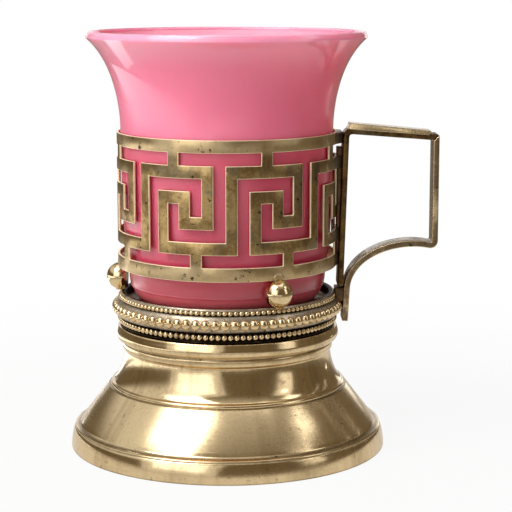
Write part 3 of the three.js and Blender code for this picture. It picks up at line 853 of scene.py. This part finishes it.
@dataclass
class Gallery:
    """Collar under the glass, with its lip, its sloping moulding and three beaded wires."""

    legs: tuple[Leg, ...] = (
        # Floor, wall and base
        (1, (33.0, 48.0), (2.8, 48.0), (2.8, 46.6), (33.0, 46.6), (33.0, 40.3), (35.0, 40.3), (35.0, 40.75)),
        # Moulding
        (1, (34.1, 40.75), (34.1, 43.6), (35.5, 43.6)), (8, (36.5, 43.6), (36.5, 44.8)), (1, (36.5, 46.3)),
        (8, (36.5, 47.2), (35.5, 48.6)), (1, (34.1, 48.6), (34.1, 50.05), (34.8, 50.05)),
        # Lip
        (8, (34.9, 50.85), (34.1, 50.85)), (1, (33.3, 50.85), (33.0, 50.55)),
    )
    wall: Point = (33.0, 34.1)
    moulding: Point = (43.6, 48.6)
    under_lip: float = 50.05
    floor: float = 48.0
    margin: float = 0.1
    edge: float = 0.08
    steps: int = 160
    # The cores that join the beads of the upper and lower wires are painted shade between the beads.
    rows: tuple[BeadRow, ...] = (
        BeadRow("upper_beads", "upper_bead_wire", Slot.AGED, level=49.45, ring=34.8, size=(0.66, 0.76),
                count=126, share=0.49, mesh=(10, 6), finish=GILT, core=DARK),
        BeadRow("main_beads", "main_bead_wire", Slot.BRIGHT, level=46.0, ring=36.2, size=(1.35, 1.72),
                count=75, share=0.52, mesh=(14, 9), finish=GILT, core=PEARLY),
        BeadRow("lower_beads", "lower_bead_wire", Slot.AGED, level=42.05, ring=35.0, size=(0.72, 0.92),
                count=114, share=0.47, mesh=(10, 6), finish=RUBBED, core=RECESS_SHADE),
    )

    def build(self) -> None:
        """Turns the collar and lays the wires round it."""
        inner, outer = self.wall
        low, high = self.moulding
        bench = Bench().turn(Outline().draw(self.legs), self.steps, closed=True).soften(self.edge)
        for face in bench.bm.faces:
            middle = face.calc_center_median()
            reach = middle.xy.length
            moulded = low - self.margin < middle.z < high + self.margin
            if reach > outer + self.margin and (moulded or middle.z > self.under_lip - self.margin):
                face.material_index = 1
            elif middle.z > self.floor - self.margin and reach < inner - self.margin:
                face.material_index = 2
        # The collar is painted shade but for its moulding and lip, pale, and its floor, grey solder.
        bench.piece("gallery_collar", Body.HOLDER, Slot.DARK, [RECESS_SHADE, PEARLY, LEAD], ["gallery_dish"])
        for row in self.rows:
            row.build()


@dataclass
class BallTabs:
    """Three tabs that carry the band, each with a ball on its outer face."""

    reach: float = 34.9
    sunk: float = 2.2
    radius: float = 4.45
    level: float = 55.1
    mesh: tuple[int, int] = (40, 24)
    collar: tuple[Leg, ...] = (
        (1, (0, -3.85), (1.2, -3.85)), (8, (1.3, -4.45), (1.7, -4.45)), (1, (0, -4.45)))
    collar_steps: int = 24

    def build(self) -> None:
        """Makes the balls and dresses the tabs."""
        for number, angle in enumerate(BALL_ANGLES, 1):
            bench = Bench()
            across, up = self.mesh
            bmesh.ops.create_uvsphere(bench.bm, u_segments=across, v_segments=up, radius=self.radius)
            cut = bmesh.ops.bisect_plane(bench.bm, geom=bench.everything, plane_co=(-self.sunk, 0, 0),
                                         plane_no=(-1, 0, 0), clear_outer=True)
            rim = [item for item in cut["geom_cut"] if isinstance(item, bmesh.types.BMEdge)]
            bmesh.ops.edgeloop_fill(bench.bm, edges=rim)
            bench.turn(Outline().draw(self.collar), self.collar_steps)
            bench.move(Matrix.Rotation(angle, 4, "Z") @ Matrix.Translation((self.reach, 0, self.level)))
            bench.piece(f"ball_{number}", Body.HOLDER, Slot.BRIGHT, [BUTTON], [f"tab_ball_{number}"])
            dress(f"band_tab_{number}", SATIN)


@dataclass
class SpunFoot:
    """Thin spun foot: flange, beaded neck, bell, straight skirt and a rolled lip."""

    legs: tuple[Leg, ...] = (
        # Flange with its roll
        (1, (2.8, 38.9), (2.8, 40.0), (34.95, 40.0)), (4, (35.55, 40.0), (35.65, 39.4)),
        (6, (35.85, 38.5), (36.15, 38.0), (36.15, 37.3)), (14, (36.15, 36.2), (35.75, 35.4), (34.75, 35.3)),
        # Groove, bead of the neck and bell
        (1, (33.9, 35.15), (33.9, 34.55)), (4, (34.2, 34.55), (34.2, 34.2)), (1, (34.25, 33.0)),
        (8, (34.2, 32.4), (33.5, 31.9)), (24, (33.8, 28.1), (35.2, 23.65), (37.2, 21.65)),
        # Roll of the step, and the straight skirt
        (8, (38.2, 21.4), (38.2, 20.7)), (1, (38.1, 20.4), (38.8, 20.2), (47.85, 8.4)),
        # Cove, small step and rolled lip
        (8, (48.2, 7.55), (49.3, 7.3)), (8, (50.0, 7.25), (50.05, 6.7)), (1, (49.95, 6.5)),
        (16, (50.6, 6.3), (51.3, 2.1), (51.3, 0.3)), (4, (51.3, 0), (50.8, 0)),
        # Inside
        (1, (48.0, 0), (46.15, 6.8), (36.5, 19.5), (32.3, 26.7), (32.3, 38.9)),
    )
    edge: float = 0.1
    steps: int = 192

    def build(self) -> None:
        """Spins the foot and dresses the fixing inside it."""
        bench = Bench().turn(Outline().draw(self.legs), self.steps, closed=True).soften(self.edge)
        bench.piece("foot", Body.HOLDER, Slot.BRIGHT, [POLISHED], ["spun_foot"])
        dress("centre_bolt", STEEL)
        dress("foot_nut", STEEL)
        dress("foot_washer", SATIN)


@dataclass
class Handle:
    """Handle of two bent strips, with its packing and its thumb rest.

    The sweep of the lower curve is a share of its span, with the rise and drop of its handles.
    """

    strip: float = 1.9
    width: float = 9.0
    edge: float = 0.4
    foot: Point = (36.6, 52.35)
    corner: Point = (38.2, 102.8)
    slope: float = math.radians(4.3)
    reach: float = 67.05
    gap: float = 0.3
    bend: float = 2.4
    grip_bend: float = 1.6
    lower_corner: float = 65.75
    knee: Point = (38.8, 52.45)
    tail: Point = (38.2, 40.9)
    sweep: Triple = (0.43, 2.1, -2.5)
    thumb: Point = (0.3, 26.8)
    thumb_width: float = 9.1
    thumb_back: float = 1.75
    thumb_tip: float = 1.25
    thumb_cove: float = 0.7
    thumb_drop: float = 0.35
    thumb_edge: float = 0.12
    hollow: Triple = (53.0, 0.0, 83.0)
    side_limit: float = 0.3
    finger_facing: float = 0.55

    def __post_init__(self) -> None:
        """Works out the top bar: its direction, its start and its mitred end."""
        self.along = Vector((math.cos(self.slope), 0, -math.sin(self.slope)))
        self.start = Vector((self.corner[0], 0, self.corner[1]))
        self.mitre = self.start + self.along * ((self.reach - self.corner[0]) / self.along.x)

    def build(self) -> None:
        """Bends the strips and lays the thumb rest."""
        self.back()
        self.grip()
        self.rest()
        dress("strap_packing", LEAD)

    def strap(self, line: Outline, name: str, end: int, outward: Vector, node: str, slot: Slot,
              finishes: Sequence[Brass]) -> None:
        """Makes a strip along a centre line, with one end mitred.

        Args:
            line: The centre line, up to the mitre.
            name: Name of the piece.
            end: Index of the mitred end in the line.
            outward: Direction in which the line would run on there.
            node: Solid that it stands for.
            slot: Record's slot of its finish.
            finishes: Finishes of its faces, its edges and its side towards the fingers, which takes painted
                shade or a painted reflection.
        """
        half = self.strip / 2
        half_turn = (math.pi / 2 - self.slope) / 2
        left, right = line.beside(half), line.beside(-half)
        retreat = outward * (self.gap / 2 / math.cos(half_turn))
        left[end] += outward * half * math.tan(half_turn) - retreat
        right[end] -= outward * half * math.tan(half_turn) + retreat
        bench = Bench().plate(right + left[::-1], self.width).soften(self.edge, 3, slot=1)
        for face in bench.bm.faces:
            inward = (Vector(self.hollow) - face.calc_center_median()).normalized()
            if abs(face.normal.y) < self.side_limit and face.normal.dot(inward) > self.finger_facing:
                face.material_index = 2
        bench.piece(name, Body.HOLDER, slot, finishes, [node])

    def back(self) -> None:
        """Makes the strap on the band with its top bar."""
        foot = Vector((self.foot[0], 0, self.foot[1]))
        start = self.start + (foot - self.start).normalized() * self.bend
        end = self.start + self.along * self.bend
        line = Outline().to(self.foot, (start.x, start.z))
        line.bend(self.corner, (end.x, end.z)).to((self.mitre.x, self.mitre.z))
        # The back strap is tarnish with painted shade, and painted shade on its side towards the fingers.
        self.strap(line, "back_strap", -1, self.along, "handle_back_strap", Slot.DARK, [TARNISH_AND_SHADE, TARNISH_AND_SHADE, DARK])

    def grip(self) -> None:
        """Makes the grip with its lower curve and its tail."""
        low = self.lower_corner
        span = self.reach - self.knee[0]
        line = Outline().to((self.reach, self.mitre.z), (self.reach, low + self.grip_bend))
        line.bend((self.reach, low), (self.reach - self.grip_bend, low))
        share, rise, drop = self.sweep
        first = (self.reach - span * share, low + rise)
        line.curve(first, (self.knee[0] + self.grip_bend, low + drop), self.knee, 28).to(self.tail)
        # The grip's side towards the fingers takes the pale finish as a painted reflection.
        self.strap(line, "grip_strap", 0, UP, "handle_grip_strap", Slot.AGED, [GRIP, RUBBED, PEARLY])

    def rest(self) -> None:
        """Lays the thumb rest on the top bar."""
        start, length = self.thumb
        far = length - self.thumb_cove
        outline = Outline().to((0, 0), (far, 0)).bend((far, self.thumb_tip / 2), (length, self.thumb_tip))
        outline.to((self.thumb_cove, self.thumb_back)).bend((self.thumb_cove, self.thumb_back / 2), (0, 0))
        # The thumb rest's roundings take the pale edge finish: worn metal and a painted highlight.
        bench = Bench().plate(outline.points[:-1], self.thumb_width).soften(self.thumb_edge, slot=1)
        up = Vector((-self.along.z, 0, self.along.x))
        seat = self.start + self.along * start + up * (self.strip / 2 - self.thumb_drop)
        bench.move(Matrix.Translation(seat) @ Matrix.Rotation(self.slope, 4, "Y"))
        bench.piece("thumb_plate", Body.HOLDER, Slot.AGED, [RUBBED, EDGE], ["thumb_rest"])


@dataclass
class Solder:
    """Solder at the joints: strap to band, tail to gallery and balls to the lower rail; the seam by the strap
    and the block by the tail are darkened as painted shade.
    """

    band: float = 35.3
    strap_foot: Point = (35.65, 52.35)
    strap_top: Point = (37.25, 102.8)
    lugs: Points = ((59.5, 63.5), (67.6, 71.4), (91.0, 94.8), (98.9, 102.5))
    lug_wall: Points = ((-1.3, -9.4), (-0.7, 7.0), (-0.5, 0))
    lug_strap: Points = ((-0.1, -4.2), (0, -3.2), (-0.1, 4.0))
    rounding: float = 0.3
    seam: Point = (60.0, 97.4)
    seam_width: float = 5.6
    seam_sunk: float = 0.1
    tail: tuple[Point, Point] = ((34.9, 47.2), (38.0, 51.7))
    tail_width: float = 6.5
    knee: Triple = (37.6, 0, 53.0)
    knee_size: Triple = (1.2, 3.6, 1.5)
    nub_level: float = 60.2
    nub_size: Triple = (0.35, 1.7, 1.3)

    def inner_face(self, level: float) -> float:
        """Reach of the strap's inner face at a height."""
        (low_x, low_z), (top_x, top_z) = self.strap_foot, self.strap_top
        return low_x + (top_x - low_x) * (level - low_z) / (top_z - low_z)

    def build(self) -> None:
        """Lays the solder."""
        bench = Bench()
        for low, high in self.lugs:
            front, *back = offset((self.band, 0), self.lug_wall)
            plan = (front, *offset((self.inner_face(low), 0), self.lug_strap), *back)
            bench.slab([Vector((x, y, low)) for x, y in plan], UP * (high - low))
        bench.soften(self.rounding, 3)
        for number, angle in enumerate(BALL_ANGLES, 1):
            lump = Bench().lump((self.band, 0, self.nub_level), self.nub_size, angle)
            lump.piece(f"nub_solder_{number}", Body.HOLDER, Slot.AGED, [SATIN])
        bench.piece("rail_solder", Body.HOLDER, Slot.AGED, [LEAD])
        # Dark seam in the gap between band and strap, and dark block under the grip's tail: solder, darkened
        # as painted shade.
        low, high = self.seam
        strap = [(self.inner_face(level) + self.seam_sunk, level) for level in self.seam]
        seam = Outline().to((self.band, low), *strap, (self.band, high))
        (near, bottom), (far, top) = self.tail
        tail = Outline().to((near, bottom), (far, bottom), (far, top), (near, top))
        bench = Bench().plate(seam.points, self.seam_width).plate(tail.points, self.tail_width)
        bench.soften(self.rounding, 3).piece("strap_seam_shade", Body.HOLDER, Slot.DARK, [DARK])
        Bench().lump(self.knee, self.knee_size).piece("knee_solder", Body.HOLDER, Slot.AGED, [SATIN])


@dataclass(frozen=True)
class Softbox:
    """A soft lamp that shines at the cup, or a card that lies on the floor and shines upwards."""

    name: str
    place: Triple
    size: Point
    power: float
    lying: bool = False
    turn: float = 0.0
    mirrored: bool = True

    def hang(self, target: Vector) -> None:
        """Hangs the lamp and turns it to the cup, or lays it down.

        Args:
            target: Point that it faces.
        """
        data = bpy.data.lights.new(self.name, "AREA")
        data.shape = "RECTANGLE"
        data.size, data.size_y = self.size
        data.energy = self.power
        lamp = bpy.data.objects.new(self.name, data)
        lamp.location = self.place
        lamp.rotation_euler = (target - Vector(self.place)).to_track_quat("-Z", "Y").to_euler()
        if self.lying:
            lamp.rotation_euler = Euler((math.pi, 0, self.turn))
        lamp.visible_camera = False
        lamp.visible_glossy = self.mirrored
        SCENE.collection.objects.link(lamp)


@dataclass(frozen=True)
class DimRoom:
    """The dim room in front of the cup and above it, which only reflections see."""

    radius: float = 2.4
    skyline: float = math.radians(1.5)
    back: float = math.radians(155)
    back_top: float = math.radians(20)
    mesh: tuple[int, int] = (72, 48)
    pale_top: Point = (0.6, 0.95)
    wall_side: Point = (0.25, 0.75)
    wall_rise: Point = (0.2, 0.45)

    def build(self) -> None:
        """Makes the room as a dome that is open behind the cup."""
        bm = bmesh.new()
        bmesh.ops.create_uvsphere(bm, u_segments=self.mesh[0], v_segments=self.mesh[1], radius=self.radius)
        opening = []
        for face in bm.faces:
            middle = face.calc_center_median()
            rise = math.asin(middle.z / middle.length)
            side = abs(math.atan2(middle.x, -middle.y))
            if rise < self.skyline or (side > self.back and rise < self.back_top):
                opening.append(face)
        bmesh.ops.delete(bm, geom=opening, context="FACES")
        tree = ShaderTree(bpy.data.materials.new("dim_room"))
        rise = tree.height() * (1 / self.radius)
        left = tree.along("X") * (-1 / self.radius)
        wall = left.step(*self.wall_side) * rise.step(*self.wall_rise)
        colour = tree.mix(rise.step(*self.pale_top), Paint.ROOM, Paint.ROOM_TOP)
        colour = tree.mix(wall, colour, Paint.ROOM_WALL)
        glow = tree.node("ShaderNodeEmission", inputs={"Color": colour})
        room = make_object("dim_room", bm, [tree.shown(glow)])
        for rays in ("camera", "diffuse", "shadow", "transmission"):
            setattr(room, f"visible_{rays}", False)


@dataclass
class Studio:
    """Pale floor, soft light, the dim room and the camera."""

    target: Vector = field(default_factory=lambda: Vector((AXIS_X, 0, 0.06)))
    floor_size: float = 6.0
    ambient: float = 0.12
    white_near: float = 0.92
    mirrored: float = 0.85
    table: Point = (0.1, 0.3)
    white: Point = (0.06, 0.3)
    lens: float = 117.43
    sensor: float = 36
    camera_place: Triple = (AXIS_X, -0.53584, 0.15144)
    camera_tilt: float = math.radians(80.492)
    camera_turn: float = math.radians(-0.999)
    room: DimRoom = DimRoom()
    lamps: tuple[Softbox, ...] = (
        Softbox("high_softbox", (-0.592, -0.413, 1.04), (0.73, 0.7), 6.4),
        Softbox("window_bar", (-0.55, -0.38, 0.97), (0.6, 0.03), 1.3),
        Softbox("low_softbox", (-0.66, -0.93, 0.42), (1.3, 1.05), 2.7),
        Softbox("low_core", (-0.63, -0.89, 0.41), (0.8, 0.65), 1.9),
        Softbox("left_fill", (-0.72, -0.48, 0.80), (0.9, 0.7), 10, mirrored=False),
        Softbox("overhead_card", (AXIS_X, 0.05, 1.3), (1.3, 1.0), 3.0),
        Softbox("side_window", (0.92, -0.453, 0.436), (0.34, 0.7), 0.8),
        Softbox("side_core", (0.92, -0.453, 0.60), (0.1, 0.1), 0.12),
        Softbox("side_skylight", (0.846, -0.12, 0.85), (0.3, 0.26), 0.48),
        Softbox("thin_strip", (0.89, 0.318, 0.564), (0.015, 0.5), 0.035),
        Softbox("back_strip", (0.848, 0.545, 0.438), (0.015, 0.5), 0.04),
        Softbox("back_card", (0.457, 0.997, 0.13), (0.22, 0.24), 0.15),
        Softbox("floor_strip", (0.512, 0.468, 0.002), (0.02, 0.5), 0.1, True, math.radians(132)),
        Softbox("back_bar", (-0.12, 0.79, 0.73), (0.25, 0.2), 0.8),
        Softbox("front_paper", (AXIS_X, -0.55, 0.002), (0.5, 0.35), 0.6, True),
        Softbox("left_paper", (-0.50, -0.05, 0.002), (0.5, 0.7), 1.8, True),
        Softbox("left_card", (AXIS_X - 0.135, 0.135, 0.002), (0.2, 0.08), 0.09, True, math.radians(40)),
        Softbox("right_card", (AXIS_X + 0.17, 0.105, 0.002), (0.14, 0.07), 0.01, True, math.radians(-55)),
    )

    def build(self) -> None:
        """Sets up the studio."""
        SCENE.view_settings.view_transform = "Standard"
        self.floor()
        self.world()
        for lamp in self.lamps:
            lamp.hang(self.target)
        self.room.build()
        self.camera()

    def seen(self, tree: ShaderTree) -> tuple[Value, Value]:
        """Whether a ray shows the background.

        Args:
            tree: Tree that the nodes go into.

        Returns:
            1 for a ray from the camera, and 1 for a ray by reflection or through glass.
        """
        path = tree.node("ShaderNodeLightPath").outputs
        inputs = {0: path["Is Glossy Ray"], 1: path["Is Transmission Ray"]}
        bent = tree.value("ShaderNodeMath", {"operation": "MAXIMUM"}, inputs)
        return Value(tree, path["Is Camera Ray"]), bent

    def floor(self) -> None:
        """Lays the floor, white to the eye but for the cup's shadow."""
        bm = bmesh.new()
        bmesh.ops.create_grid(bm, x_segments=1, y_segments=1, size=self.floor_size / 2)
        tree = ShaderTree(bpy.data.materials.new("pale_floor"))
        matt = tree.node("ShaderNodeBsdfDiffuse", inputs={"Color": Paint.FLOOR})
        direct, bent = self.seen(tree)
        far = tree.distance().step(*self.table)
        colour = tree.mix(bent, Paint.WHITE, tree.mix(far, Paint.TABLE, Paint.ROOM))
        glow = tree.node("ShaderNodeEmission", inputs={"Color": colour})
        away = tree.distance().step(*self.white)
        share = direct * (away * (1 - self.white_near) + self.white_near) + bent * self.mirrored
        both = tree.node("ShaderNodeMixShader", inputs={0: share, 1: matt.outputs[0], 2: glow.outputs[0]})
        made = make_object("floor", bm, [tree.shown(both)])

    def world(self) -> None:
        """Makes the surroundings: white where they are seen, soft grey as light."""
        SCENE.world = bpy.data.worlds.new("white_room")
        tree = ShaderTree(SCENE.world)
        direct, bent = self.seen(tree)
        strength = self.ambient + (direct + bent) * (1 - self.ambient)
        sky = tree.node("ShaderNodeBackground", inputs={"Color": Paint.WHITE, "Strength": strength})
        tree.shown(sky, "ShaderNodeOutputWorld")

    def camera(self) -> None:
        """Sets the camera as the photograph has it."""
        data = bpy.data.cameras.new("camera")
        data.lens = self.lens
        data.sensor_width = self.sensor
        eye = bpy.data.objects.new("camera", data)
        eye.location = self.camera_place
        eye.rotation_euler = Euler((self.camera_tilt, 0, self.camera_turn))
        SCENE.collection.objects.link(eye)
        SCENE.camera = eye


def main() -> None:
    """Builds the pieces in order."""
    logging.basicConfig(level=logging.INFO, format="%(name)s %(message)s")
    for part in (Tumbler(), KeyBand(), Gallery(), BallTabs(), SpunFoot(), Handle(), Solder(), Studio()):
        part.build()


if __name__ == "__main__":
    main()
